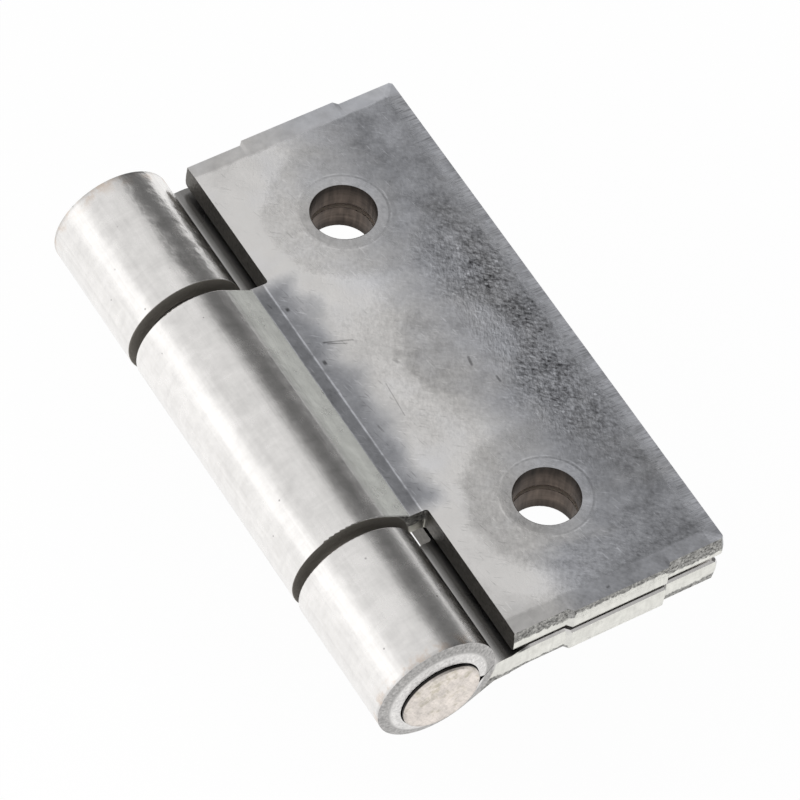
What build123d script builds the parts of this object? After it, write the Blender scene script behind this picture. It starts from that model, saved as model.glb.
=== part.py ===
"""A plain steel butt hinge with three rolled knuckles, closed, in millimetres.

The drawing frame has the pin along Y at the origin, X towards the free edges and Z up.
The pieces are then moved so that the origin is the middle of the fixed leaf's hole line,
on the face that lies against the door post.
"""
from build123d import *
from math import acos, atan2, cos, degrees, radians, sin, sqrt
import os

os.makedirs("parts", exist_ok=True)

# Sheet and leaves
SHEET = 2.8
CLOSED_GAP = 0.7
LENGTH = 60.0
HALF_WIDTH = 30.5
FIXED_TRIM = 0.4
NOTCH_X = 8.0
NOTCH_CORNER_RADIUS = 0.3
CORNER_CUT = 0.25

# Sheared edges from the inner face out: rolled over, burnished, torn back, then a pressed margin
SHEAR_ROLL_WIDTH = 0.35
SHEAR_ROLL_HEIGHT = 0.45
SHEAR_ROLL_TURNS = (0, 45, 90)
BURNISH_HEIGHT = 0.8
TEAR_BACK = 0.15
MARGIN_DEPTH = 0.1
MARGIN_WIDTH = 1.6
MARGIN_RUN_IN = 2.0

# Screw holes, dished a little on the outer face
HOLE_DIAMETER = 6.4
HOLE_X = 18.4
HOLE_SPACING = 36.8
HOLE_DISH_DIAMETER = 8.4
HOLE_DISH_DEPTH = 0.06

# Parting tabs left on the leaf ends where the strip was cut
TAB_START_X = 14.1
TAB_LENGTH = 10.0
TAB_PROUD = 0.45
TAB_RAMP = 0.4

# Pin and knuckles: the sheet is thinned where it is rolled, and its ends bulge at the bore
PIN_DIAMETER = 8.0
PIN_PROUD = 1.05
PIN_EDGE_BREAK = 0.15
RUNNING_CLEARANCE = 0.1
KNUCKLE_WALL = 2.0
KNUCKLE_BULGE = 0.6
KNUCKLE_RIM_RADIUS = 0.15
MIDDLE_KNUCKLE_LENGTH = 29.0
KNUCKLE_GAP = 1.25
BEND_REACH = 1.1
BEND_RISE = 0.08
BEND_STRIP = 1.25
BEND_UNDER_RADIUS = 5.0
CURL_SEAM = 0.1
CURL_HEEL_WIDTH = 0.9
CURL_HEEL_BACK = 8.0

# Two places closer than this are the same place
TOUCH = 0.001

PIN_RADIUS = PIN_DIAMETER / 2
HOLE_RADIUS = HOLE_DIAMETER / 2
INNER_Z = CLOSED_GAP / 2
OUTER_Z = INNER_Z + SHEET
END_Y = LENGTH / 2


def polar(radius, angle):
    """A point of the section at an angle in degrees about the pin."""
    return (radius * cos(radians(angle)), radius * sin(radians(angle)))


def about(centre, radius, angle):
    """A point of the section at an angle in degrees about another centre."""
    x, z = polar(radius, angle)
    return (centre[0] + x, centre[1] + z)


def sheet_section(bore):
    """The sheet seen along the pin: flat, creased bend, thinned roll round the pin, seated curl tip."""
    outside = bore + KNUCKLE_WALL
    heel = bore + CURL_HEEL_WIDTH
    crease_z = OUTER_Z + BEND_RISE
    crease_x = sqrt(outside**2 - crease_z**2) + BEND_REACH
    crease_turn = acos(outside / sqrt(crease_x**2 + crease_z**2))
    flank_end = polar(outside, degrees(atan2(crease_z, crease_x) + crease_turn))
    flat_outer = (crease_x + BEND_STRIP, OUTER_Z)
    under_rise = INNER_Z + BEND_UNDER_RADIUS
    under_reach = bore + BEND_UNDER_RADIUS
    under = (sqrt(under_reach**2 - under_rise**2), under_rise)
    under_meet = degrees(atan2(under[1], under[0]))
    under_middle = (under_meet + 180 + 270) / 2
    root_x = max(NOTCH_X, under[0] + TOUCH, flat_outer[0] + TOUCH)
    seat_radius = BEND_UNDER_RADIUS + CURL_SEAM

    def seat_angle(radius):
        """Angle about the pin where a circle of this radius meets the curl tip's seat."""
        cosine = (under_reach**2 + radius**2 - seat_radius**2) / (2 * under_reach * radius)
        return under_meet - degrees(acos(cosine))

    tip_middle_radius = (outside + heel) / 2
    tip_outer = polar(outside, seat_angle(outside))
    tip_middle = polar(tip_middle_radius, seat_angle(tip_middle_radius))
    tip_heel = polar(heel, seat_angle(heel))
    tip_inner = polar(bore, seat_angle(heel) - CURL_HEEL_BACK)
    flat_inner = (under[0], INNER_Z)
    with BuildSketch(Plane.XZ) as section:
        with BuildLine():
            Line((root_x, OUTER_Z), flat_outer)
            Line(flat_outer, (crease_x, crease_z))
            Line((crease_x, crease_z), flank_end)
            ThreePointArc(flank_end, polar(outside, 135), polar(outside, 180))
            ThreePointArc(polar(outside, 180), polar(outside, 270), tip_outer)
            ThreePointArc(tip_outer, tip_middle, tip_heel)
            Line(tip_heel, tip_inner)
            ThreePointArc(tip_inner, polar(bore, 270), polar(bore, 180))
            ThreePointArc(polar(bore, 180), polar(bore, 135), polar(bore, under_meet))
            ThreePointArc(
                polar(bore, under_meet), about(under, BEND_UNDER_RADIUS, under_middle), flat_inner
            )
            Line(flat_inner, (root_x, INNER_Z))
            Line((root_x, INNER_Z), (root_x, OUTER_Z))
        make_face()
    return section.sketch


def knuckle(bore, start, end):
    """One rolled knuckle between two places along the pin."""
    body = extrude(sheet_section(bore), amount=end - start)
    return Pos(0, start - body.bounding_box().min.Y, 0) * body


def beyond_bulge(bore):
    """What is cut off past a knuckle's bulged end: a cone inside its rim, flat outside it."""
    proud = END_Y + KNUCKLE_BULGE
    outline = [
        (0, proud),
        (bore, proud),
        (bore + KNUCKLE_WALL, END_Y),
        (LENGTH, END_Y),
        (LENGTH, LENGTH),
        (0, LENGTH),
    ]
    return revolve(make_face(Polyline(*outline, close=True)), Axis.Y)


def end_knuckle(bore, start):
    """A knuckle that reaches the far end of its leaf, where its bore edge stands proud."""
    return knuckle(bore, start, END_Y + KNUCKLE_BULGE) - beyond_bulge(bore)


def flat_face(half_width, inset, height, tab_proud, run_in):
    """The flat's outline at one height, drawn in from its widest line."""
    end = END_Y - inset
    tab = end + tab_proud
    side = half_width - inset
    tab_end_x = TAB_START_X + TAB_LENGTH
    far_half = [
        (NOTCH_X, END_Y if run_in else end),
        (NOTCH_X + MARGIN_RUN_IN, end),
        (TAB_START_X - TAB_RAMP, end),
        (TAB_START_X, tab),
        (tab_end_x, tab),
        (tab_end_x + TAB_RAMP, end),
        (side - CORNER_CUT, end),
        (side, end - CORNER_CUT),
    ]
    near_half = [(x, -y) for x, y in reversed(far_half)]
    return Pos(0, 0, height) * make_face(Polyline(*far_half, *near_half, close=True))


def plate(half_width, run_in):
    """The flat of a leaf with its tabs, sheared edges and two dished screw holes."""
    steps = []
    for turn in SHEAR_ROLL_TURNS:
        inset = SHEAR_ROLL_WIDTH * (1 - sin(radians(turn)))
        rise = SHEAR_ROLL_HEIGHT * (1 - cos(radians(turn)))
        steps.append((inset, INNER_Z + rise, TAB_PROUD))
    steps += [
        (0, INNER_Z + SHEAR_ROLL_HEIGHT + BURNISH_HEIGHT, TAB_PROUD),
        (TEAR_BACK, OUTER_Z - MARGIN_DEPTH, TAB_PROUD),
        (MARGIN_WIDTH, OUTER_Z, 0),
    ]
    faces = [flat_face(half_width, inset, z, tab, run_in) for inset, z, tab in steps]
    body = loft(faces, ruled=True)
    hole = Pos(0, 0, OUTER_Z - SHEET / 2) * Cylinder(HOLE_RADIUS, SHEET)
    dish = Cone(HOLE_RADIUS, HOLE_DISH_DIAMETER / 2, HOLE_DISH_DEPTH)
    hole = hole + Pos(0, 0, OUTER_Z - HOLE_DISH_DEPTH / 2) * dish
    for side in (-1, 1):
        body = body - Pos(HOLE_X, side * HOLE_SPACING / 2, 0) * hole
    return body


def finished(body, outside, inner_end):
    """A leaf with its notch corners rounded and its knuckles' inner rims rolled over."""
    corners = [
        edge
        for edge in body.edges().filter_by(Axis.Z)
        if abs(edge.center().X - NOTCH_X) < TOUCH
        and abs(abs(edge.center().Y) - inner_end) < TOUCH
    ]
    body = fillet(corners, NOTCH_CORNER_RADIUS)
    rims = [
        edge
        for edge in body.edges().filter_by(GeomType.CIRCLE)
        if abs(edge.radius - outside) < TOUCH
        and abs(abs(edge.center().Y) - inner_end) < TOUCH
    ]
    return fillet(rims, KNUCKLE_RIM_RADIUS)


def to_hole_line(shape):
    """From the drawing frame to the fixed leaf's hole line, on its outer face."""
    return Pos(-HOLE_X, 0, OUTER_Z) * shape


middle_half = MIDDLE_KNUCKLE_LENGTH / 2
outer_start = middle_half + KNUCKLE_GAP
outer_bore = PIN_RADIUS + RUNNING_CLEARANCE

moving_leaf = plate(HALF_WIDTH, False) + knuckle(PIN_RADIUS, -middle_half, middle_half)
moving_leaf = finished(moving_leaf, PIN_RADIUS + KNUCKLE_WALL, middle_half)

far_knuckle = end_knuckle(outer_bore, outer_start)
fixed_leaf = plate(HALF_WIDTH - FIXED_TRIM, True)
fixed_leaf = fixed_leaf + far_knuckle + mirror(far_knuckle, about=Plane.XZ)
fixed_leaf = finished(fixed_leaf, outer_bore + KNUCKLE_WALL, outer_start)
fixed_leaf = mirror(fixed_leaf, about=Plane.XY)

hinge_pin = Rot(90, 0, 0) * Cylinder(PIN_RADIUS, LENGTH + 2 * PIN_PROUD)
hinge_pin = chamfer(hinge_pin.edges().filter_by(GeomType.CIRCLE), PIN_EDGE_BREAK)

pieces = {"fixed_leaf": fixed_leaf, "moving_leaf": moving_leaf, "hinge_pin": hinge_pin}
for name, shape in pieces.items():
    export_step(to_hole_line(shape), f"parts/{name}.step")
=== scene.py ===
"""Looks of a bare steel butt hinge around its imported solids, in metres.

The leaves and the pin keep their solids, and this script gives them their steel:
rolled and burnished knuckles, pressed leaf faces, sheared edges and a cropped pin end.
"""

import bpy
from collections import namedtuple
from math import cos, hypot, pi, radians, sin
from mathutils import Matrix, Vector

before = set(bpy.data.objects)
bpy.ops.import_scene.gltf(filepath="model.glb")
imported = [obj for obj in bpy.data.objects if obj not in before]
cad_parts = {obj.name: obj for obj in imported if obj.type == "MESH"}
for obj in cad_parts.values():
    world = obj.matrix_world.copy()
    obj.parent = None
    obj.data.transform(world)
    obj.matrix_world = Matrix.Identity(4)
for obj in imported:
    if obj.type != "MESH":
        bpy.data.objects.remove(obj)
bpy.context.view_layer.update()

# Places on the hinge, in millimetres, from the fixed leaf's hole line
MILLIMETRE = 0.001
PIN_X = -18.4
PIN_Z = 3.15
PIN_RADIUS = 4.0
PIN_END_Y = 31.05
BARREL_RADIUS = 6.0
BULGE_MIDDLE_RADIUS = 5.1
FLANK_START = 3.2
CREASE_X = -12.24
STRIP_END_X = -10.99
NOTCH_X = -10.4
FREE_EDGE_X = 12.1
MARGIN_WIDTH = 1.6
END_Y = 30.0
HOLE_Y = 18.4
HOLE_RADIUS = 3.2
DISH_RADIUS = 4.2
TAB_START_X = -4.3
TAB_END_X = 5.7
OUTER_FACE = 3.15

# Every pair of numbers named EDGE, ZONE or ENDS is where a mask starts and ends its fade.
# Every three named BAND are a band's middle, half its width and how soft its sides are.


# Shader values and nodes

NOISE_MIDDLE = 0.5
STREAK_ROUGHNESS = 0.6
SPOT_CORE = 0.6
SPOT_CHANCE = (0.5, 0.6)


class Wire:
    """A value in a shader. A sum written on it adds the Math nodes for it."""

    def __init__(self, shader, socket):
        self.shader = shader
        self.socket = socket

    def output(self, name):
        """Another output of the node that gives this value."""
        return Wire(self.shader, self.socket.node.outputs[name])

    def math(self, operation, *terms):
        return self.shader.add("Math", {"operation": operation}, dict(enumerate(terms)))

    def __add__(self, other):
        return self.math("ADD", self, other)

    def __radd__(self, other):
        return self.math("ADD", other, self)

    def __sub__(self, other):
        return self.math("SUBTRACT", self, other)

    def __rsub__(self, other):
        return self.math("SUBTRACT", other, self)

    def __mul__(self, other):
        return self.math("MULTIPLY", self, other)

    def __rmul__(self, other):
        return self.math("MULTIPLY", other, self)

    def __truediv__(self, other):
        return self.math("DIVIDE", self, other)

    def __rtruediv__(self, other):
        return self.math("DIVIDE", other, self)

    def __pow__(self, other):
        return self.math("POWER", self, other)

    def __abs__(self):
        return self.math("ABSOLUTE", self)

    def least(self, other):
        return self.math("MINIMUM", self, other)

    def most(self, other):
        return self.math("MAXIMUM", self, other)

    def rise(self, start, end):
        """0 before start, 1 after end, and smooth between them."""
        settings = {"interpolation_type": "SMOOTHSTEP"}
        sockets = {"Value": self, "From Min": start, "From Max": end}
        return self.shader.add("MapRange", settings, sockets)

    def fall(self, start, end):
        """1 before start, 0 after end, and smooth between them."""
        return 1.0 - self.rise(start, end)

    def band(self, middle, half_width, soft):
        """1 within half a width of the middle, 0 beyond, with soft sides."""
        return abs(self - middle).fall(half_width - soft, half_width + soft)

    def towards(self, other, mask):
        """This value, drawn to another where the mask is 1."""
        return self + (other - self) * mask


class Shader:
    """The nodes of one finish, of the floor or of the world."""

    def __init__(self, tree):
        self.tree = tree
        self.tree.nodes.clear()

    def add(self, kind, settings=None, sockets=None, output=0):
        """Add a node: its settings first, then the values or wires of its sockets."""
        node = self.tree.nodes.new("ShaderNode" + kind)
        for name, value in (settings or {}).items():
            if name == "stops":
                self.set_stops(node.color_ramp, value)
            else:
                setattr(node, name, value)
        for name, value in (sockets or {}).items():
            if isinstance(value, Wire):
                self.tree.links.new(value.socket, node.inputs[name])
            else:
                socket = node.inputs[name]
                socket.default_value = (*value, 1.0) if socket.type == "RGBA" else value
        return Wire(self, node.outputs[output]) if node.outputs else None

    def set_stops(self, ramp, stops):
        """Give a colour ramp its stops, each a place and a brightness."""
        while len(ramp.elements) < len(stops):
            ramp.elements.new(1.0)
        for element, (place, level) in zip(ramp.elements, stops):
            element.position = place
            element.color = (level, level, level, 1.0)

    def place(self):
        """The place on the object in millimetres. It moves with the object."""
        place = self.add("TexCoord", output="Object")
        return self.scaled(place, 1.0 / MILLIMETRE)

    def parts(self, vector):
        """The three parts of a vector."""
        first = self.add("SeparateXYZ", {}, {"Vector": vector}, "X")
        return first, first.output("Y"), first.output("Z")

    def vector(self, x, y, z):
        return self.add("CombineXYZ", {}, {"X": x, "Y": y, "Z": z})

    def moved(self, vector, shift):
        return self.add("VectorMath", {"operation": "ADD"}, {0: vector, 1: shift})

    def scaled(self, vector, amount):
        """A vector or a colour times a number."""
        return self.add("VectorMath", {"operation": "SCALE"}, {0: vector, "Scale": amount})

    def mixed(self, mask, under, over):
        """One colour over another where the mask is 1."""
        return self.add("Mix", {"data_type": "RGBA"}, {0: mask, 6: under, 7: over}, 2)

    def noise(self, place, scale=1.0, detail=2.0, rough=0.5):
        """Even noise about 0: its half range is about 0.3."""
        sockets = {"Vector": place, "Scale": scale, "Detail": detail, "Roughness": rough}
        return self.add("TexNoise", {}, sockets) - NOISE_MIDDLE

    def streaks(self, x, y, z, across, along, rough=STREAK_ROUGHNESS):
        """Noise with so many grains a millimetre across Y and along it."""
        return self.noise(self.vector(x * across, y * along, z * across), rough=rough)

    def stretched(self, place, turn, across, along):
        """Noise drawn out along one slope of the leaf: so many grains a millimetre each way."""
        x, y, z = self.parts(place)
        over = x * cos(turn) + y * sin(turn)
        on = y * cos(turn) - x * sin(turn)
        return self.streaks(over, on, z, across, along)

    def spots(self, place, scale, size):
        """Scattered round spots: 1 inside, 0 outside, some of them left out."""
        cell = self.add("TexVoronoi", {}, {"Vector": place, "Scale": scale})
        chance = self.parts(cell.output("Color"))[0]
        return cell.fall(size * SPOT_CORE, size) * chance.rise(*SPOT_CHANCE)

    def bump(self, height):
        """A normal from a height in millimetres."""
        return self.add("Bump", {}, {"Height": height, "Distance": MILLIMETRE, "Strength": 1.0})


def distance(x, y):
    """How far a place lies from the origin of its two coordinates."""
    return (x**2.0 + y**2.0) ** 0.5


Finish = namedtuple("Finish", "colour roughness height")


def covered(shader, mask, under, over):
    """One finish over another where the mask is 1."""
    colour = shader.mixed(mask, under.colour, over.colour)
    roughness = under.roughness + (over.roughness - under.roughness) * mask
    height = under.height + (over.height - under.height) * mask
    return Finish(colour, roughness, height)


def metal(name, build):
    """A metal whose finish comes from its own function."""
    material = bpy.data.materials.new(name)
    material.use_nodes = True
    shader = Shader(material.node_tree)
    finish = build(shader)
    sockets = {
        "Base Color": finish.colour,
        "Metallic": 1.0,
        "Roughness": finish.roughness,
        "Normal": shader.bump(finish.height),
    }
    surface = shader.add("BsdfPrincipled", {}, sockets)
    shader.add("OutputMaterial", {}, {"Surface": surface})
    return material


# Steel finishes

PALE_STEEL = (0.97, 0.95, 0.93)
COOL_STEEL = (0.93, 0.945, 1.0)
TORN_STEEL = (0.66, 0.65, 0.62)
BURNISHED_STEEL = (0.95, 0.94, 0.88)
# The hole wall's brown, kept dark as painted shade of the hole
HOLE_BROWN = (0.15, 0.118, 0.098)
HOLE_SHADE = (0.60, 0.53, 0.47)
RUST_TINT = (0.62, 0.46, 0.34)
PIN_END_BEIGE = (0.90, 0.83, 0.77)
PIN_END_OLIVE = (0.62, 0.57, 0.46)
# Near black, painted as shade on the pin's side where it stands out of the knuckles
SHADE_BLACK = (0.035, 0.034, 0.033)
# Dark steel painted as shade: on the notch sides and on the knuckle ends in the gaps
PAINTED_SHADE_STEEL = (0.34, 0.32, 0.29)
# The flank's pale green tint is painted reflection
FLANK_STEEL = (0.94, 0.95, 0.90)

# A tone is a share of a steel colour. Where noise could take it to nothing, it stops at this one
LEAST_TONE = 0.05

# Noises that a leaf's finishes share: grains a millimetre, detail and roughness
DRIFT = (0.2, 1.0, 0.5)
CLOUD = (0.16, 3.0, 0.55)
FINE_CLOUD = (0.7, 3.0, 0.6)
CRUMBS = (3.4, 2.0, 0.7)

# Where one finish of a leaf gives way to the next, in millimetres
BARREL_EDGE = (BARREL_RADIUS + 0.9, BARREL_RADIUS + 1.0)
RING_EDGE = (BARREL_RADIUS + 0.15, BARREL_RADIUS + 0.4)
INSIDE_EDGE = (BARREL_RADIUS + 0.3, BARREL_RADIUS + 0.6)
HOLE_EDGE = (HOLE_RADIUS + 0.02, HOLE_RADIUS + 0.06)
NOTCH_BAND = (NOTCH_X, 1.0, 0.3)

# How far a face looks along an axis, as that part of its normal
SQUARE_EDGE = (0.6, 0.8)
INWARD_EDGE = (-0.5, -0.2)
BACKWARD_EDGE = (-0.8, -0.3)


class LeafPlace:
    """Where a point of a leaf lies: places in millimetres, masks from 0 to 1 and shared noises."""

    def __init__(self, shader, outward, shift):
        place = shader.place()
        self.grain = shader.moved(place, (shift, shift, 0.0))
        self.drift = shader.noise(self.grain, *DRIFT)
        self.cloud = shader.noise(self.grain, *CLOUD)
        self.fine_cloud = shader.noise(self.grain, *FINE_CLOUD)
        self.crumbs = shader.noise(self.grain, *CRUMBS)
        self.x, self.y, self.z = shader.parts(place)
        facing = shader.add("TexCoord", output="Normal")
        self.facing_x, facing_y, facing_z = shader.parts(facing)
        self.facing_out = facing_z * outward
        self.depth = (self.z - PIN_Z) * outward
        self.round_x = self.x - PIN_X
        self.round_z = self.z - PIN_Z
        self.from_pin = distance(self.round_x, self.round_z)
        self.from_hole = distance(self.x, abs(self.y) - HOLE_Y)
        self.to_end = END_Y - abs(self.y)
        self.to_free_edge = FREE_EDGE_X - self.x
        self.on_barrel = self.from_pin.fall(*BARREL_EDGE)
        self.on_ring = self.from_pin.fall(*RING_EDGE)
        self.on_end = abs(facing_y).rise(*SQUARE_EDGE)
        self.on_side = abs(self.facing_x).rise(*SQUARE_EDGE) * (1.0 - self.on_barrel)
        self.in_hole = self.from_hole.fall(*HOLE_EDGE)


# Dents and scratches on a leaf's outer face: start, end and half width, in millimetres
FACE_MARKS = (
    ((-9.4, 6.1), (-6.7, 5.1), 0.09),
    ((-9.1, 5.8), (-7.4, 5.0), 0.06),
    ((-4.6, 1.5), (-4.3, 0.8), 0.16),
    ((-10.4, 4.3), (-10.4, 3.8), 0.16),
    ((-10.4, 11.1), (-10.4, 10.7), 0.16),
    ((1.7, -1.5), (1.5, -2.6), 0.12),
    ((2.9, -4.6), (2.9, -5.4), 0.10),
    ((-6.6, -0.6), (-6.9, -4.6), 0.05),
    ((-0.3, -29.4), (-0.3, -29.6), 0.18),
)


def face_marks(leaf):
    """1 in the dents and scratches of the leaf's face, 0 outside them."""
    marks = None
    for start, end, half_width in FACE_MARKS:
        run = Vector(end) - Vector(start)
        course = run.normalized()
        x = leaf.x - start[0]
        y = leaf.y - start[1]
        along = x * course.x + y * course.y
        across = y * course.x - x * course.y
        mark = across.band(0.0, half_width, half_width / 2)
        mark = mark * along.band(run.length / 2, run.length / 2, half_width)
        marks = marks.most(mark) if marks else mark
    return marks


# Zones of the pressed face in millimetres, and how far the noises shift their edges
BARREL_ZONE = (-5.5, 2.5)
BARREL_CLOUD_SHIFT = 4.0
FREE_EDGE_ZONE = (1.5, 6.5)
FREE_EDGE_CLOUD_SHIFT = 7.0
FREE_EDGE_FINE_SHIFT = 2.0
NEAR_END_ZONE = (-25.0, -22.0)
NEAR_END_FINE_SHIFT = 3.0
NEAR_END_FROM_BARREL_ZONE = (-6.5, -2.0)
NEAR_RIM_ZONE = (-28.5, -26.0)
# The bend zone is painted shade: darker and cooler where the face turns into the bend
BEND_ZONE = (-10.2, -6.7)
BEND_DRIFT_SHIFT = 5.0
BEND_FINE_SHIFT = 0.3
BEND_ENDS = (13.0, 15.5)
CALM_ZONE = (-8.5, -5.5)
FAR_HALF_ZONE = (-5.0, 5.0)
FAR_PALE_ZONE = (2.0, 14.0)
COOL_ZONE = (-6.0, 8.0)
DISC_EDGE = (6.9, 8.3)
DISC_FINE_SHIFT = 0.7
DISC_CLOUD_SHIFT = 1.6
# A painted glint: a pale ring round each hole on the barrel's side of the face
GLINT_BAND = (9.6, 1.4, 0.9)
GLINT_CLOUD_SHIFT = 1.5
GLINT_ZONE = (-3.0, 3.5)
PATCH_X = 1.4
PATCH_EDGE = (4.9, 6.1)
PATCH_FINE_SHIFT = 2.0
PITS_NEARER = 1.0
PITS_ENDS = (6.0, 22.0)
PITS_BAND = (6.8, 3.0, 1.6)
END_MARGIN_EDGE = (1.5, 1.9)
END_MARGIN_FINE_SHIFT = 0.6
END_MARGIN_PALE_ZONE = (2.0, 7.0)
EDGE_MARGIN_EDGE = (1.0, 2.0)
EDGE_MARGIN_BRUSH_SHIFT = 4.5
EDGE_MARGIN_FINE_SHIFT = 1.5
SLOPE_EDGE = (MARGIN_WIDTH - 0.05, MARGIN_WIDTH + 0.05)
# Painted shade and highlight: a dark line and a broken bright ring just outside each dish's rim
DARK_RING_BAND = (DISH_RADIUS + 0.1, 0.08, 0.07)
BRIGHT_RING_BAND = (DISH_RADIUS + 0.3, 0.07, 0.06)
# Painted highlights: bright lines along the strip's end and along the crease
STRIP_RIDGE_BAND = (STRIP_END_X + 0.03, 0.10, 0.07)
CREASE_RIDGE_BAND = (CREASE_X, 0.08, 0.05)
RIDGE_ENDS = (14.2, 15.0)

# Noises of the pressed face: grains a millimetre, detail and roughness, or a spot's size
BLOTCHES = (0.42, 3.0, 0.65)
FLAKES = (0.9, 0.17)

# Drawn-out noises of the pressed face: slope, then grains a millimetre across and along it
GRIT = (0.7, 4.2, 2.0)
PEEL = (-0.5, 3.0, 1.6)
BRUSH = (0.0, 0.3, 6.0)
SCRATCHES = (0.9, 6.0, 0.55)
CROSS_SCRATCHES = (0.2, 6.0, 0.55)

# Levels at which a noise turns into a line, a pitted place or a broken ring or ridge
BRIGHT_LINE_EDGE = (0.15, 0.22)
DARK_LINE_EDGE = (-0.22, -0.15)
PITS_BLOTCH_SHIFT = 0.1
PITS_BLOTCH_EDGE = (-0.2, 0.2)
BRIGHT_RING_EDGE = (-0.1, 0.15)
RIDGE_EDGE = (-0.3, 0.12)

# How strongly the zones hold
CALM_SHARE = 0.75
DISC_SHARE = 0.25
DISC_SHARE_BY_BARREL = 0.5
DISC_LESS_BY_FAR_END = 0.55
DISC_FREE_OF_PITS = 0.7
COOL_CLOUD_SHARE = 1.5


class FacePlace:
    """Where a point of the pressed face lies: zones from 0 to 1, and noises of its own."""

    def __init__(self, shader, leaf):
        cloud = leaf.cloud
        fine_cloud = leaf.fine_cloud
        self.blotches = shader.noise(leaf.grain, *BLOTCHES)
        self.peel = shader.stretched(leaf.grain, *PEEL)
        self.brush = shader.stretched(leaf.grain, *BRUSH)
        self.by_barrel = (leaf.x + BARREL_CLOUD_SHIFT * cloud).fall(*BARREL_ZONE)
        shifted = leaf.x + FREE_EDGE_CLOUD_SHIFT * cloud + FREE_EDGE_FINE_SHIFT * fine_cloud
        self.by_free_edge = shifted.rise(*FREE_EDGE_ZONE)
        near_end = (leaf.y + NEAR_END_FINE_SHIFT * fine_cloud).fall(*NEAR_END_ZONE)
        self.by_near_end = near_end * leaf.x.rise(*NEAR_END_FROM_BARREL_ZONE)
        # Painted shade: darker and cooler where the face turns into the bend
        shifted = leaf.x + BEND_DRIFT_SHIFT * leaf.drift + BEND_FINE_SHIFT * fine_cloud
        self.bend_shade = shifted.fall(*BEND_ZONE) * abs(leaf.y).fall(*BEND_ENDS)
        self.calm = 1.0 - CALM_SHARE * leaf.x.fall(*CALM_ZONE)
        self.by_far_end = leaf.y.rise(*FAR_HALF_ZONE)
        shifted = leaf.from_hole + DISC_FINE_SHIFT * fine_cloud + DISC_CLOUD_SHIFT * cloud
        self.disc = shifted.fall(*DISC_EDGE)
        dulled = self.disc * (DISC_SHARE + DISC_SHARE_BY_BARREL * self.by_barrel)
        self.dulled = dulled * (1.0 - DISC_LESS_BY_FAR_END * self.by_far_end)
        # Painted glint round the holes, on the barrel's side
        glint = (leaf.from_hole + GLINT_CLOUD_SHIFT * cloud).band(*GLINT_BAND)
        self.glint = glint * leaf.x.fall(*GLINT_ZONE)
        from_patch = distance(leaf.x - PATCH_X, leaf.y)
        self.patch = (from_patch + PATCH_FINE_SHIFT * fine_cloud).fall(*PATCH_EDGE)
        self.along_pits = abs(leaf.y + PITS_NEARER).fall(*PITS_ENDS)
        pitted = self.by_free_edge * self.along_pits * (1.0 - DISC_FREE_OF_PITS * self.disc)
        blotched = (self.blotches + PITS_BLOTCH_SHIFT).rise(*PITS_BLOTCH_EDGE)
        self.pitted = pitted * (1.0 - self.patch) * blotched
        self.end_margin = (leaf.to_end + END_MARGIN_FINE_SHIFT * fine_cloud).fall(*END_MARGIN_EDGE)
        shifted = leaf.to_free_edge + EDGE_MARGIN_BRUSH_SHIFT * self.brush
        shifted = shifted + EDGE_MARGIN_FINE_SHIFT * fine_cloud
        self.edge_margin = shifted.fall(*EDGE_MARGIN_EDGE)


# Tones of the pressed face, and how far each zone and each noise moves them
FACE_TONE = 0.55
# Painted reflection: how much paler the face is by the barrel and darker by the free edge
BARREL_REFLECTION_TONE = 0.37
FREE_EDGE_REFLECTION_SHADE = 0.20
FACE_CLOUD_TONE = 0.30
FACE_FINE_TONE = 0.28
FAR_PALE_TONE = 0.06
BLOTCH_SHADE = 0.50
BLOTCH_SHARE = 0.25
BLOTCH_SHARE_BY_FREE_EDGE = 0.75
NEAR_END_TONE = 0.40
NEAR_END_FINE_TONE = 0.4
NEAR_END_COVER = 0.8
NEAR_RIM_SHADE = 0.10
GLINT_TONE = 0.12
DISC_TONE = 0.52
DISC_BARREL_TONE = 0.14
DISC_FINE_TONE = 0.3
PATCH_TONE = 0.59
PATCH_FINE_TONE = 0.5
PATCH_BLOTCH_TONE = 0.4
PATCH_COVER = 0.75
BEND_SHADE_TONE = 0.40
BEND_SHADE_FINE_TONE = 0.3
GRIT_TONE = 0.22
GRIT_PITTED_TONE = 0.9
GRIT_NEAR_END_TONE = 0.25
PEEL_TONE = 0.18
PEEL_BARREL_TONE = 0.25
BRIGHT_LINE_TONE = 0.15
DARK_LINE_SHADE = 0.17
FLAKE_TONE = 0.4
EDGE_MARGIN_TONE = 0.50
EDGE_MARGIN_BRUSH_TONE = 0.9
EDGE_MARGIN_FINE_TONE = 0.4
EDGE_MARGIN_COVER = 0.8
# Painted light: how much paler the slope by the free edge is painted, against its darker reflection
SLOPE_LIGHT_GAIN = 0.62
END_MARGIN_TONE = 0.46
END_MARGIN_PALE_TONE = 0.12
END_MARGIN_FAR_TONE = 0.33
END_MARGIN_FINE_TONE = 0.5
END_MARGIN_COVER = 0.5
END_MARGIN_FAR_COVER = 0.35
RING_TONE = 0.16
DARK_RING_SHARE = 0.5
DARK_RING_FINE_SHARE = 2.0
MARK_SHADE = 0.30
RIDGE_HIGHLIGHT_TONE = 0.34


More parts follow.
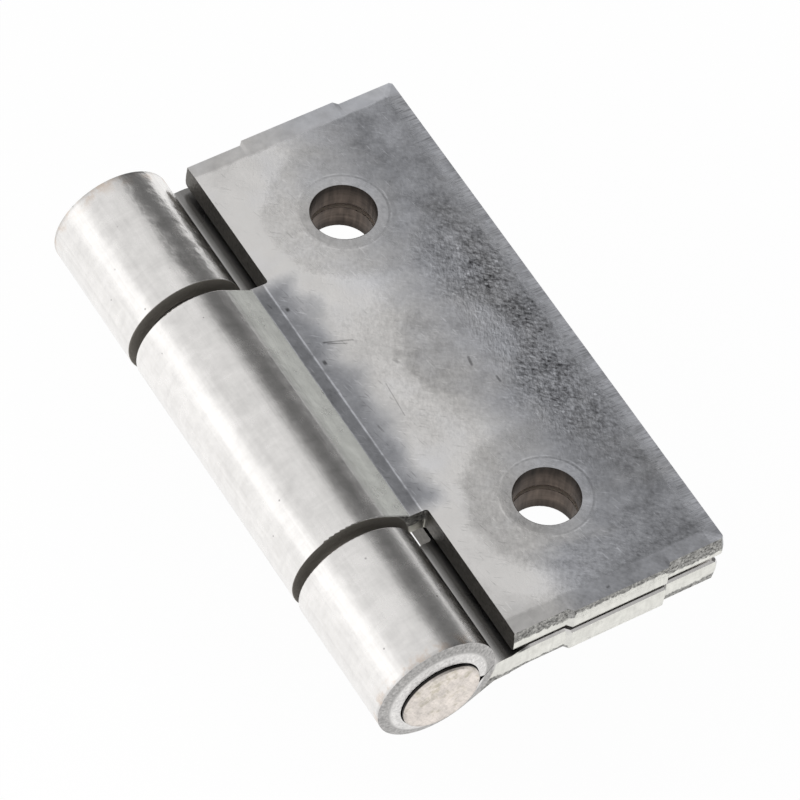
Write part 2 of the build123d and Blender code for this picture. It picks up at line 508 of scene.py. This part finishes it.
def face_tone(shader, leaf, face):
    """The pressed face's tone: its zones first, some of them painted reflection, shade and glint, then
    its grain and lines, its margins and rings with painted light, shade and highlight, and painted
    highlights along its ridges.
    """
    fine_cloud = leaf.fine_cloud
    grit = shader.stretched(leaf.grain, *GRIT)
    scratches = shader.stretched(leaf.grain, *SCRATCHES)
    cross_scratches = shader.stretched(leaf.grain, *CROSS_SCRATCHES)
    bright_lines = scratches.rise(*BRIGHT_LINE_EDGE).most(cross_scratches.rise(*BRIGHT_LINE_EDGE))
    dark_lines = scratches.fall(*DARK_LINE_EDGE).most(cross_scratches.fall(*DARK_LINE_EDGE))
    flakes = shader.spots(leaf.grain, *FLAKES)

    # Painted reflection: paler by the barrel and darker by the free edge, as a bowed sheet reflects
    # the studio
    tone = FACE_TONE + BARREL_REFLECTION_TONE * face.by_barrel - FREE_EDGE_REFLECTION_SHADE * face.by_free_edge
    tone = tone + FACE_CLOUD_TONE * leaf.cloud + FACE_FINE_TONE * fine_cloud
    tone = tone + FAR_PALE_TONE * leaf.y.rise(*FAR_PALE_ZONE)
    blotch_share = BLOTCH_SHARE + BLOTCH_SHARE_BY_FREE_EDGE * face.by_free_edge
    tone = tone - BLOTCH_SHADE * face.blotches * blotch_share
    near_tone = NEAR_END_TONE + NEAR_END_FINE_TONE * fine_cloud
    tone = tone.towards(near_tone, NEAR_END_COVER * face.by_near_end)
    tone = tone - NEAR_RIM_SHADE * leaf.y.fall(*NEAR_RIM_ZONE)
    # Painted glint round the holes
    tone = tone + GLINT_TONE * face.glint
    disc_tone = DISC_TONE + DISC_BARREL_TONE * face.by_barrel + DISC_FINE_TONE * fine_cloud
    tone = tone.towards(disc_tone, face.dulled)
    patch_tone = PATCH_TONE + PATCH_FINE_TONE * fine_cloud + PATCH_BLOTCH_TONE * face.blotches
    tone = tone.towards(patch_tone, PATCH_COVER * face.patch)
    # Painted shade by the bend
    tone = tone.towards(BEND_SHADE_TONE + BEND_SHADE_FINE_TONE * fine_cloud, face.bend_shade)

    grit_tone = GRIT_TONE + GRIT_PITTED_TONE * face.pitted + GRIT_NEAR_END_TONE * face.by_near_end
    tone = tone + grit * grit_tone * face.calm
    tone = tone + face.peel * (PEEL_TONE + PEEL_BARREL_TONE * face.by_barrel) * face.calm
    tone = tone + BRIGHT_LINE_TONE * bright_lines - DARK_LINE_SHADE * dark_lines * face.by_barrel
    tone = tone + FLAKE_TONE * flakes * face.pitted

    edge_tone = EDGE_MARGIN_TONE + EDGE_MARGIN_BRUSH_TONE * face.brush
    edge_tone = edge_tone + EDGE_MARGIN_FINE_TONE * fine_cloud
    tone = tone.towards(edge_tone, EDGE_MARGIN_COVER * face.edge_margin)
    # Painted light: the slope by the free edge is painted paler to offset its darker reflection
    tone = tone * (1.0 + SLOPE_LIGHT_GAIN * leaf.to_free_edge.fall(*SLOPE_EDGE))
    end_tone = END_MARGIN_TONE + END_MARGIN_PALE_TONE * leaf.x.rise(*END_MARGIN_PALE_ZONE)
    end_tone = end_tone + END_MARGIN_FAR_TONE * face.by_far_end + END_MARGIN_FINE_TONE * fine_cloud
    end_cover = END_MARGIN_COVER + END_MARGIN_FAR_COVER * face.by_far_end
    tone = tone.towards(end_tone, face.end_margin * end_cover)

    # Painted shade and highlight just outside each dish's rim
    rim_shade_line = leaf.from_hole.band(*DARK_RING_BAND)
    rim_shade_line = rim_shade_line * (DARK_RING_SHARE + DARK_RING_FINE_SHARE * fine_cloud)
    rim_highlight = leaf.from_hole.band(*BRIGHT_RING_BAND) * fine_cloud.rise(*BRIGHT_RING_EDGE)
    tone = tone - RING_TONE * rim_shade_line + RING_TONE * rim_highlight - MARK_SHADE * face_marks(leaf)
    # Painted highlights along the strip's end and the crease
    ridge_highlight = leaf.x.band(*STRIP_RIDGE_BAND).most(leaf.x.band(*CREASE_RIDGE_BAND))
    ridge_highlight = RIDGE_HIGHLIGHT_TONE * ridge_highlight * abs(leaf.y).fall(*RIDGE_ENDS) * fine_cloud.rise(*RIDGE_EDGE)
    return tone + ridge_highlight


# Roughness of the pressed face, and heights of its bump in millimetres
FACE_ROUGHNESS = 0.23
FACE_FINE_ROUGHNESS = 0.16
DISC_ROUGHNESS = 0.06
MARGIN_ROUGHNESS = 0.08
DRIFT_BUMP = 0.055
PEEL_BUMP = 0.006
PITS_BUMP = 0.035


def pressed_face(shader, leaf):
    """The outer flat: a painted reflection makes it pale by the barrel and darker by the free edge,
    where it is also blotched and pitted; it is dulled round the holes.
    """
    face = FacePlace(shader, leaf)
    cool = leaf.x.rise(*COOL_ZONE) + COOL_CLOUD_SHARE * leaf.cloud
    # The painted shade by the bend is cooler too
    cool = cool.most(face.bend_shade).most(face.by_near_end)
    steel = shader.mixed(cool.least(1.0).most(0.0), PALE_STEEL, COOL_STEEL)
    tone = face_tone(shader, leaf, face)
    colour = shader.scaled(steel, tone.most(LEAST_TONE).least(1.0))
    margin = face.end_margin.most(face.edge_margin)
    roughness = FACE_ROUGHNESS + FACE_FINE_ROUGHNESS * leaf.fine_cloud
    roughness = roughness + DISC_ROUGHNESS * face.disc + MARGIN_ROUGHNESS * margin
    pitted_zone = leaf.x.band(*PITS_BAND) * face.along_pits
    peel_height = PEEL_BUMP * face.calm + PITS_BUMP * pitted_zone
    height = DRIFT_BUMP * leaf.drift + peel_height * face.peel
    return Finish(colour, roughness, height)


# The knuckles' round: grains a millimetre round and along the pin, and the pits' size
KNUCKLE_DRAWN = (2.4, 0.06)
KNUCKLE_RUBBED = (0.1, 2.2)
KNUCKLE_PITS = (0.6, 0.08)
KNUCKLE_TONE = 0.92
KNUCKLE_DRAWN_TONE = 0.16
KNUCKLE_RUBBED_TONE = 0.10
KNUCKLE_CLOUD_TONE = 0.24
KNUCKLE_FINE_TONE = 0.30
KNUCKLE_PIT_SHADE = 0.35
KNUCKLE_MOST_TONE = 0.99
# Painted shade: the round is darker within half a millimetre of a knuckle's end
KNUCKLE_RIM_EDGE = (0.05, 0.45)
KNUCKLE_RIM_SHADE = 0.2
OUTER_SIDE_EDGE = (2.0, 3.0)
# Painted reflection: a dark band where the flank starts, then a paler, greener flank
FLANK_SHADE_BAND = (FLANK_START + 0.3, 0.4, 0.7)
FLANK_SHADE = 0.26
FLANK_EDGE = (FLANK_START - 0.3, FLANK_START + 0.7)
FLANK_TONE = 0.06
RUST_EDGE = (0.1, 1.8)
RUST_FINE_EDGE = (-0.05, 0.15)
RUST_COVER = 0.5
KNUCKLE_ROUGHNESS = 0.24
KNUCKLE_FINE_ROUGHNESS = 0.22
KNUCKLE_CLOUD_ROUGHNESS = 0.1
KNUCKLE_PIT_ROUGHNESS = 0.15
DENTED_Y_EDGE = (15.8, 17.5)
DENTED_HEIGHT_EDGE = (1.0, 3.0)
DENTED_BAND = (3.0, 2.4, 1.2)
DENTED_GAIN = 3.0
KNUCKLE_DRAWN_BUMP = 0.006
KNUCKLE_CLOUD_BUMP = 0.08
KNUCKLE_FINE_BUMP = 0.017


def rolled_knuckle(shader, leaf):
    """A knuckle's round: bright, drawn along its length, with fine pits and a rusty outer rim, painted
    shade by its ends and before its flank, and a paler flank of painted reflection.
    """
    cloud = leaf.cloud
    fine_cloud = leaf.fine_cloud
    drawn = shader.streaks(leaf.round_x, leaf.y, leaf.round_z, *KNUCKLE_DRAWN)
    rubbed = shader.streaks(leaf.round_x, leaf.y, leaf.round_z, *KNUCKLE_RUBBED)
    pits = shader.spots(leaf.grain, *KNUCKLE_PITS)
    tone = KNUCKLE_TONE + KNUCKLE_DRAWN_TONE * drawn + KNUCKLE_RUBBED_TONE * rubbed
    tone = tone + KNUCKLE_CLOUD_TONE * cloud + KNUCKLE_FINE_TONE * fine_cloud
    tone = tone - KNUCKLE_PIT_SHADE * pits
    # Painted shade by the knuckle's end
    tone = tone - KNUCKLE_RIM_SHADE * leaf.to_end.fall(*KNUCKLE_RIM_EDGE)
    on_outer_side = leaf.depth.rise(*OUTER_SIDE_EDGE)
    # Painted reflection: darker where the flank starts, paler and greener on the flank
    tone = tone - FLANK_SHADE * on_outer_side * leaf.round_x.band(*FLANK_SHADE_BAND)
    flank = on_outer_side * leaf.round_x.rise(*FLANK_EDGE)
    tone = tone + FLANK_TONE * flank
    steel = shader.mixed(flank, PALE_STEEL, FLANK_STEEL)
    colour = shader.scaled(steel, tone.least(KNUCKLE_MOST_TONE))
    rust = leaf.to_end.fall(*RUST_EDGE) * fine_cloud.rise(*RUST_FINE_EDGE)
    colour = shader.mixed(RUST_COVER * rust, colour, RUST_TINT)
    roughness = KNUCKLE_ROUGHNESS + KNUCKLE_FINE_ROUGHNESS * fine_cloud
    roughness = roughness + KNUCKLE_CLOUD_ROUGHNESS * cloud + KNUCKLE_PIT_ROUGHNESS * pits
    dented = leaf.y.rise(*DENTED_Y_EDGE) * leaf.round_z.rise(*DENTED_HEIGHT_EDGE)
    dented = dented * leaf.round_x.band(*DENTED_BAND)
    uneven = KNUCKLE_CLOUD_BUMP * cloud + KNUCKLE_FINE_BUMP * fine_cloud
    height = KNUCKLE_DRAWN_BUMP * drawn + uneven * (1.0 + DENTED_GAIN * dented)
    return Finish(colour, roughness, height)


# The inner face: slope of the rolled grain, then grains a millimetre across and along it
INNER_ROLLED = (0.0, 3.0, 0.3)
INNER_TONE = 0.80
INNER_CLOUD_TONE = 0.3
INNER_ROLLED_TONE = 0.25
# Painted shade on the inner face, between the crease and the notch
INNER_SHADE_START_EDGE = (CREASE_X + 0.1, CREASE_X + 0.9)
INNER_SHADE_END_EDGE = (NOTCH_X + 0.8, NOTCH_X + 2.2)
INNER_SHADE = 0.6
BROWNED_EDGE = (HOLE_RADIUS + 0.5, HOLE_RADIUS + 0.9)
INNER_ROUGHNESS = 0.28
INNER_CLOUD_ROUGHNESS = 0.2
BROWNED_ROUGHNESS = 0.6


def inner_face(shader, leaf):
    """The faces that meet when closed: rolled sheet, darkened by painted shade by the bend, and
    browned round the holes.
    """
    cloud = leaf.cloud
    rolled = shader.stretched(leaf.grain, *INNER_ROLLED)
    tone = INNER_TONE + INNER_CLOUD_TONE * cloud + INNER_ROLLED_TONE * rolled
    # Painted shade: darker between the crease and the notch
    inner_shade = leaf.x.rise(*INNER_SHADE_START_EDGE) * leaf.x.fall(*INNER_SHADE_END_EDGE)
    tone = tone * (1.0 - INNER_SHADE * inner_shade)
    by_hole = leaf.from_hole.fall(*BROWNED_EDGE)
    colour = shader.mixed(by_hole, shader.scaled(PALE_STEEL, tone), HOLE_SHADE)
    roughness = INNER_ROUGHNESS + INNER_CLOUD_ROUGHNESS * cloud + BROWNED_ROUGHNESS * by_hole
    return Finish(colour, roughness, 0.0)


def scored(shader, leaf, across, down):
    """Scores down through the sheet: so many grains a millimetre across them and down."""
    return shader.noise(shader.vector(leaf.x * across, leaf.y * across, leaf.z * down))


# The cut edges: grains a millimetre, and depths from the middle of the gap in millimetres
SMEAR = (0.0, 1.2, 1.2)
EDGE_SCORES = (3.0, 0.4)
TAB_BAND = ((TAB_START_X + TAB_END_X) / 2, (TAB_END_X - TAB_START_X) / 2, 0.3)
PAST_TAB_EDGE = (TAB_END_X, TAB_END_X + 0.8)
TORN_LATER_ON_TAB = 0.8
TORN_SOONER_PAST_TAB = 0.4
TORN_SMEAR_SHIFT = 0.9
TORN_CRUMB_SHIFT = 0.5
TORN_EDGE = (-0.12, 0.12)
BURNISHED_TONE = 0.84
BURNISHED_SMEAR_TONE = 0.3
BURNISHED_SCORE_TONE = 0.25
TORN_TONE = 0.54
TORN_CRUMB_TONE = 2.0
BURNISHED_ROUGHNESS = 0.36
TORN_ROUGHNESS = 0.18
TORN_BUMP_EDGE = (-0.3, 0.3)
BURNISHED_BUMP = 0.01
TORN_BUMP = 0.16


def sheared_edge(shader, leaf, torn_from):
    """A cut edge: burnished by the inner face, torn and dark by the outer, finer on the tabs."""
    crumbs = leaf.crumbs
    smear = shader.stretched(leaf.grain, *SMEAR)
    scores = scored(shader, leaf, *EDGE_SCORES)
    on_tab = leaf.x.band(*TAB_BAND)
    past_tab = leaf.x.rise(*PAST_TAB_EDGE)
    start = torn_from + TORN_LATER_ON_TAB * on_tab - TORN_SOONER_PAST_TAB * past_tab
    start = start + TORN_SMEAR_SHIFT * smear + TORN_CRUMB_SHIFT * crumbs
    torn = (leaf.depth - start).rise(*TORN_EDGE)
    bright_tone = BURNISHED_TONE + BURNISHED_SMEAR_TONE * smear + BURNISHED_SCORE_TONE * scores
    bright = shader.scaled(BURNISHED_STEEL, bright_tone)
    dark = shader.scaled(TORN_STEEL, (TORN_TONE + TORN_CRUMB_TONE * crumbs).most(LEAST_TONE))
    colour = shader.mixed(torn, bright, dark)
    roughness = BURNISHED_ROUGHNESS + TORN_ROUGHNESS * torn
    rugged = BURNISHED_BUMP + TORN_BUMP * (leaf.depth - torn_from).rise(*TORN_BUMP_EDGE)
    return Finish(colour, roughness, rugged * crumbs)


# The knuckles' ends
RIM_EDGE = (BULGE_MIDDLE_RADIUS - 0.2, BULGE_MIDDLE_RADIUS + 0.1)
RIM_CRUMB_SHIFT = 0.6
KNUCKLE_END_TONE = 0.84
RIM_SHADE = 0.32
KNUCKLE_END_CRUMB_TONE = 0.8
IN_GAP_EDGE = (2.0, 4.0)
KNUCKLE_END_ROUGHNESS = 0.42
RIM_ROUGHNESS = 0.1
IN_GAP_ROUGHNESS = 0.3
KNUCKLE_END_BUMP = 0.05


def knuckle_end(shader, leaf):
    """A knuckle's end: a rough grey rim round a brighter bore edge, darkened in the gaps by painted
    shade.
    """
    crumbs = leaf.crumbs
    rim = (leaf.from_pin + RIM_CRUMB_SHIFT * crumbs).rise(*RIM_EDGE)
    tone = KNUCKLE_END_TONE - RIM_SHADE * rim + KNUCKLE_END_CRUMB_TONE * crumbs
    # Painted shade: the knuckle ends away from the hinge's ends, in the gaps, take the dark steel
    in_gap = leaf.to_end.rise(*IN_GAP_EDGE)
    colour = shader.mixed(in_gap, shader.scaled(PALE_STEEL, tone), PAINTED_SHADE_STEEL)
    roughness = KNUCKLE_END_ROUGHNESS + RIM_ROUGHNESS * rim + IN_GAP_ROUGHNESS * in_gap
    return Finish(colour, roughness, KNUCKLE_END_BUMP * crumbs)


# The hole walls: grains a millimetre across the leaf and down through it
HOLE_STREAKS_ACROSS = 0.4
HOLE_STREAKS_DOWN = 3.0
HOLE_SCORES = (2.2, 0.3)
HOLE_TONE = 0.85
HOLE_STREAK_TONE = 0.7
HOLE_SCORE_TONE = 1.2
HOLE_FINE_TONE = 0.8
HOLE_LEAST_TONE = 0.1
# Painted shade: the hole's wall is darkest by the leaf's outer face
HOLE_TOP_EDGE = (OUTER_FACE - 1.6, OUTER_FACE - 0.4)
HOLE_TOP_SHADE = 0.55
HOLE_ROUGHNESS = 0.5
HOLE_FINE_ROUGHNESS = 0.1


def punched_hole(shader, leaf):
    """A hole's wall: brown and streaked round by the punch, kept dark by painted shade that is darkest
    under its outer edge.
    """
    around = shader.vector(0.0, leaf.y * HOLE_STREAKS_ACROSS, leaf.z * HOLE_STREAKS_DOWN)
    streaks = shader.noise(around)
    scores = scored(shader, leaf, *HOLE_SCORES)
    tone = HOLE_TONE + HOLE_STREAK_TONE * streaks + HOLE_SCORE_TONE * scores
    tone = tone + HOLE_FINE_TONE * leaf.fine_cloud
    # Painted shade, darkest under the outer edge
    tone = tone * (1.0 - HOLE_TOP_SHADE * leaf.depth.rise(*HOLE_TOP_EDGE))
    colour = shader.scaled(HOLE_BROWN, tone.most(HOLE_LEAST_TONE))
    return Finish(colour, HOLE_ROUGHNESS + HOLE_FINE_ROUGHNESS * leaf.fine_cloud, 0.0)


# The notch sides, in painted shade
NOTCH_TONE = 0.48
NOTCH_CRUMB_TONE = 1.0
NOTCH_ROUGHNESS = 0.5
NOTCH_CRUMB_ROUGHNESS = 0.2
NOTCH_BUMP = 0.06


def notch_side(shader, leaf):
    """The side of the notch, darkened by painted shade where it faces the barrel."""
    crumbs = leaf.crumbs
    tone = NOTCH_TONE + NOTCH_CRUMB_TONE * crumbs
    colour = shader.scaled(PAINTED_SHADE_STEEL, tone.most(LEAST_TONE))
    return Finish(colour, NOTCH_ROUGHNESS + NOTCH_CRUMB_ROUGHNESS * crumbs, NOTCH_BUMP * crumbs)


def leaf_steel(outward, shift, torn_from):
    """A leaf's finish. Its outer face looks along Z one way or the other."""

    def build(shader):
        leaf = LeafPlace(shader, outward, shift)
        on_flat = 1.0 - leaf.on_barrel
        inside = leaf.facing_out.fall(*INWARD_EDGE) * leaf.from_pin.rise(*INSIDE_EDGE)
        notch = leaf.facing_x.fall(*BACKWARD_EDGE) * leaf.x.band(*NOTCH_BAND)
        finish = pressed_face(shader, leaf)
        finish = covered(shader, leaf.on_barrel, finish, rolled_knuckle(shader, leaf))
        finish = covered(shader, inside, finish, inner_face(shader, leaf))
        cut = (leaf.on_end * (1.0 - leaf.on_ring)).most(leaf.on_side * on_flat)
        finish = covered(shader, cut, finish, sheared_edge(shader, leaf, torn_from))
        finish = covered(shader, leaf.on_end * leaf.on_ring, finish, knuckle_end(shader, leaf))
        finish = covered(shader, notch * on_flat, finish, notch_side(shader, leaf))
        return covered(shader, leaf.in_hole * on_flat, finish, punched_hole(shader, leaf))

    return build


# The pin: noises as grains a millimetre, detail and roughness, and how far the stain is moved
PIN_GRAIN = (0.7, 4.0, 0.65)
PIN_STAIN = (0.8, 3.0, 0.65)
PIN_STAIN_SHIFT = (0.0, 9.0, 0.0)
PIN_FINE_GRAIN = (5.0, 2.0, 0.6)
PIN_DRAWN = (3.0, 0.08)
PIN_DRAWN_ROUGH = 0.5

# Grains a millimetre across the cropping lines and along them, by X and by Z
CROP_ACROSS = (3.0, 2.0)
CROP_ALONG = (0.6, 0.4)

# Fades, tones, roughnesses and bump of the pin
PIN_END_EDGE = (PIN_END_Y - 0.2, PIN_END_Y - 0.1)
# Where the painted shade on the pin's side starts and ends
PIN_SHADE_EDGE = (END_Y - 1.0, END_Y)
PIN_RIM_EDGE = (PIN_RADIUS - 0.45, PIN_RADIUS - 0.1)
PIN_STAIN_EDGE = (0.0, 0.2)
PIN_STAIN_COVER = 0.8
PIN_END_TONE = 0.92
PIN_END_GRAIN_TONE = 0.8
PIN_END_FINE_TONE = 0.3
PIN_END_CROP_TONE = 0.45
PIN_END_RIM_SHADE = 0.15
PIN_END_ROUGHNESS = 0.42
PIN_END_GRAIN_ROUGHNESS = 0.2
PIN_END_GRAIN_BUMP = 0.06
PIN_END_CROP_BUMP = 0.04
PIN_SIDE_TONE = 0.85
PIN_SIDE_DRAWN_TONE = 0.3
PIN_SIDE_ROUGHNESS = 0.25
PIN_SIDE_GRAIN_ROUGHNESS = 0.1
PIN_SIDE_BUMP = 0.006


def pin_steel(shader):
    """The pin: a drawn side, blackened at the ends by painted shade, and cropped matt end faces."""
    place = shader.place()
    x, y, z = shader.parts(place)
    from_pin = distance(x - PIN_X, z - PIN_Z)
    on_end = abs(y).rise(*PIN_END_EDGE)
    by_end = abs(y).rise(*PIN_SHADE_EDGE)
    grain = shader.noise(place, *PIN_GRAIN)
    stain = shader.noise(shader.moved(place, PIN_STAIN_SHIFT), *PIN_STAIN)
    fine_grain = shader.noise(place, *PIN_FINE_GRAIN)
    across = x * CROP_ACROSS[0] + z * CROP_ACROSS[1]
    along = z * CROP_ALONG[1] - x * CROP_ALONG[0]
    cropped = shader.noise(shader.vector(across, 0.0, along))
    rim = from_pin.rise(*PIN_RIM_EDGE)
    end_tone = PIN_END_TONE + PIN_END_GRAIN_TONE * grain + PIN_END_FINE_TONE * fine_grain
    end_tone = end_tone + PIN_END_CROP_TONE * cropped - PIN_END_RIM_SHADE * rim
    stained = PIN_STAIN_COVER * stain.rise(*PIN_STAIN_EDGE)
    end_colour = shader.scaled(shader.mixed(stained, PIN_END_BEIGE, PIN_END_OLIVE), end_tone)
    end_roughness = PIN_END_ROUGHNESS + PIN_END_GRAIN_ROUGHNESS * grain
    end_height = PIN_END_GRAIN_BUMP * grain + PIN_END_CROP_BUMP * cropped
    end_face = Finish(end_colour, end_roughness, end_height)
    drawn = shader.streaks(x, y, z, *PIN_DRAWN, PIN_DRAWN_ROUGH)
    side_tone = PIN_SIDE_TONE + PIN_SIDE_DRAWN_TONE * drawn
    # Painted shade: the pin's side is black where it stands out of the knuckles
    side_colour = shader.mixed(by_end, shader.scaled(PALE_STEEL, side_tone), SHADE_BLACK)
    side_roughness = PIN_SIDE_ROUGHNESS + PIN_SIDE_GRAIN_ROUGHNESS * grain
    side = Finish(side_colour, side_roughness, PIN_SIDE_BUMP * fine_grain)
    return covered(shader, on_end, side, end_face)


# Each leaf's way out along Z, the shift of its noise and the depth where its cut edge tears
UPWARD = 1.0
DOWNWARD = -1.0
MOVING_SHIFT = 0.0
FIXED_SHIFT = 47.0
MOVING_TORN_FROM = 1.65
FIXED_TORN_FROM = 2.65

finishes = {
    "moving_leaf": leaf_steel(UPWARD, MOVING_SHIFT, MOVING_TORN_FROM),
    "fixed_leaf": leaf_steel(DOWNWARD, FIXED_SHIFT, FIXED_TORN_FROM),
    "hinge_pin": pin_steel,
}
for node, build in finishes.items():
    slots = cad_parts[node].data.materials
    slots.clear()
    slots.append(metal(node + "_steel", build))


# Floor, light and camera

FLOOR_HALF = 3.0
FLOOR_CLEARANCE = 0.4
SHADOW_SHARE = 0.1
FLOOR_GLOW = 1.04
FLOOR_PALE = (0.9, 0.9, 0.9)
WHITE = (1.0, 1.0, 1.0)


def floor_plane():
    """A pale floor just under the lowest point that the moving leaf swings through."""
    swing_radius = hypot(FREE_EDGE_X - PIN_X, OUTER_FACE)
    bottom = (PIN_Z - swing_radius - FLOOR_CLEARANCE) * MILLIMETRE
    signs = ((-1, -1), (1, -1), (1, 1), (-1, 1))
    corners = [(x * FLOOR_HALF, y * FLOOR_HALF, bottom) for x, y in signs]
    mesh = bpy.data.meshes.new("floor")
    mesh.from_pydata(corners, [], [(0, 1, 2, 3)])
    plane = bpy.data.objects.new("floor", mesh)
    bpy.context.scene.collection.objects.link(plane)
    material = bpy.data.materials.new("pale_floor")
    material.use_nodes = True
    shader = Shader(material.node_tree)
    path = shader.add("LightPath", output="Is Camera Ray")
    seen = path.most(path.output("Is Glossy Ray")).most(path.output("Is Transmission Ray"))
    paper = shader.add("BsdfDiffuse", {}, {"Color": FLOOR_PALE})
    glow = shader.add("Emission", {}, {"Color": WHITE, "Strength": FLOOR_GLOW})
    share = seen * (1.0 - SHADOW_SHARE)
    surface = shader.add("MixShader", {}, {0: share, 1: paper, 2: glow})
    shader.add("OutputMaterial", {}, {"Surface": surface})
    mesh.materials.append(material)


# Brightness of the studio by the angle round the pin's direction, in degrees from the leaf's side
HALF_TURN = 180.0
STUDIO_WALLS = (
    (0.0, 0.80),
    (4.0, 0.57),
    (8.5, 0.22),
    (14.0, 0.18),
    (30.0, 0.13),
    (45.0, 0.15),
    (58.0, 0.30),
    (68.0, 0.68),
    (78.0, 0.76),
    (128.0, 0.76),
    (140.0, 0.86),
    (152.0, 1.20),
    (172.0, 1.20),
    (180.0, 1.00),
)


def studio_world():
    """A soft studio: white to the left and above, a dark wall to the right."""
    world = bpy.data.worlds.new("studio")
    bpy.context.scene.world = world
    world.use_nodes = True
    shader = Shader(world.node_tree)
    x, y, z = shader.parts(shader.add("TexCoord", output="Generated"))
    half_turns = z.math("ARCTAN2", z, x) / pi
    stops = [(angle / HALF_TURN, level) for angle, level in STUDIO_WALLS]
    walls = shader.add("ValToRGB", {"stops": stops}, {0: half_turns})
    path = shader.add("LightPath", output="Is Camera Ray")
    seen = shader.mixed(path, walls, WHITE)
    background = shader.add("Background", {}, {"Color": seen, "Strength": 1.0})
    shader.add("OutputWorld", {}, {"Surface": background})


# Camera fitted to the photograph: angles in degrees, lengths in millimetres from the pin's middle
CAMERA_TURN = -35.779
CAMERA_RISE = 54.004
CAMERA_ROLL = 6.413
CAMERA_DISTANCE = 563.662
CAMERA_RIGHT = 11.963
CAMERA_UP = 4.343
FOCAL_PIXELS = 6135.411
IMAGE_PIXELS = 800.0
SENSOR_WIDTH = 36.0
NEAREST_SEEN = 10.0


def photograph_camera():
    """The camera at the photograph's place, turn and lens."""
    turn = radians(CAMERA_TURN)
    rise = radians(CAMERA_RISE)
    roll = radians(CAMERA_ROLL)
    back = Vector((sin(turn) * cos(rise), -cos(turn) * cos(rise), sin(rise)))
    level = Vector((cos(turn), sin(turn), 0.0))
    steep = back.cross(level)
    right = level * cos(roll) + steep * sin(roll)
    up = steep * cos(roll) - level * sin(roll)
    centre = right * CAMERA_RIGHT + up * CAMERA_UP + back * CAMERA_DISTANCE
    centre = (centre + Vector((PIN_X, 0.0, PIN_Z))) * MILLIMETRE
    lens = bpy.data.cameras.new("camera")
    lens.sensor_fit = "HORIZONTAL"
    lens.sensor_width = SENSOR_WIDTH
    lens.lens = FOCAL_PIXELS / IMAGE_PIXELS * SENSOR_WIDTH
    lens.clip_start = NEAREST_SEEN * MILLIMETRE
    camera = bpy.data.objects.new("camera", lens)
    bpy.context.scene.collection.objects.link(camera)
    axes = Matrix((right, up, back)).transposed().to_4x4()
    camera.matrix_world = Matrix.Translation(centre) @ axes
    bpy.context.scene.camera = camera


floor_plane()
studio_world()
photograph_camera()
bpy.context.scene.view_settings.view_transform = "Standard"
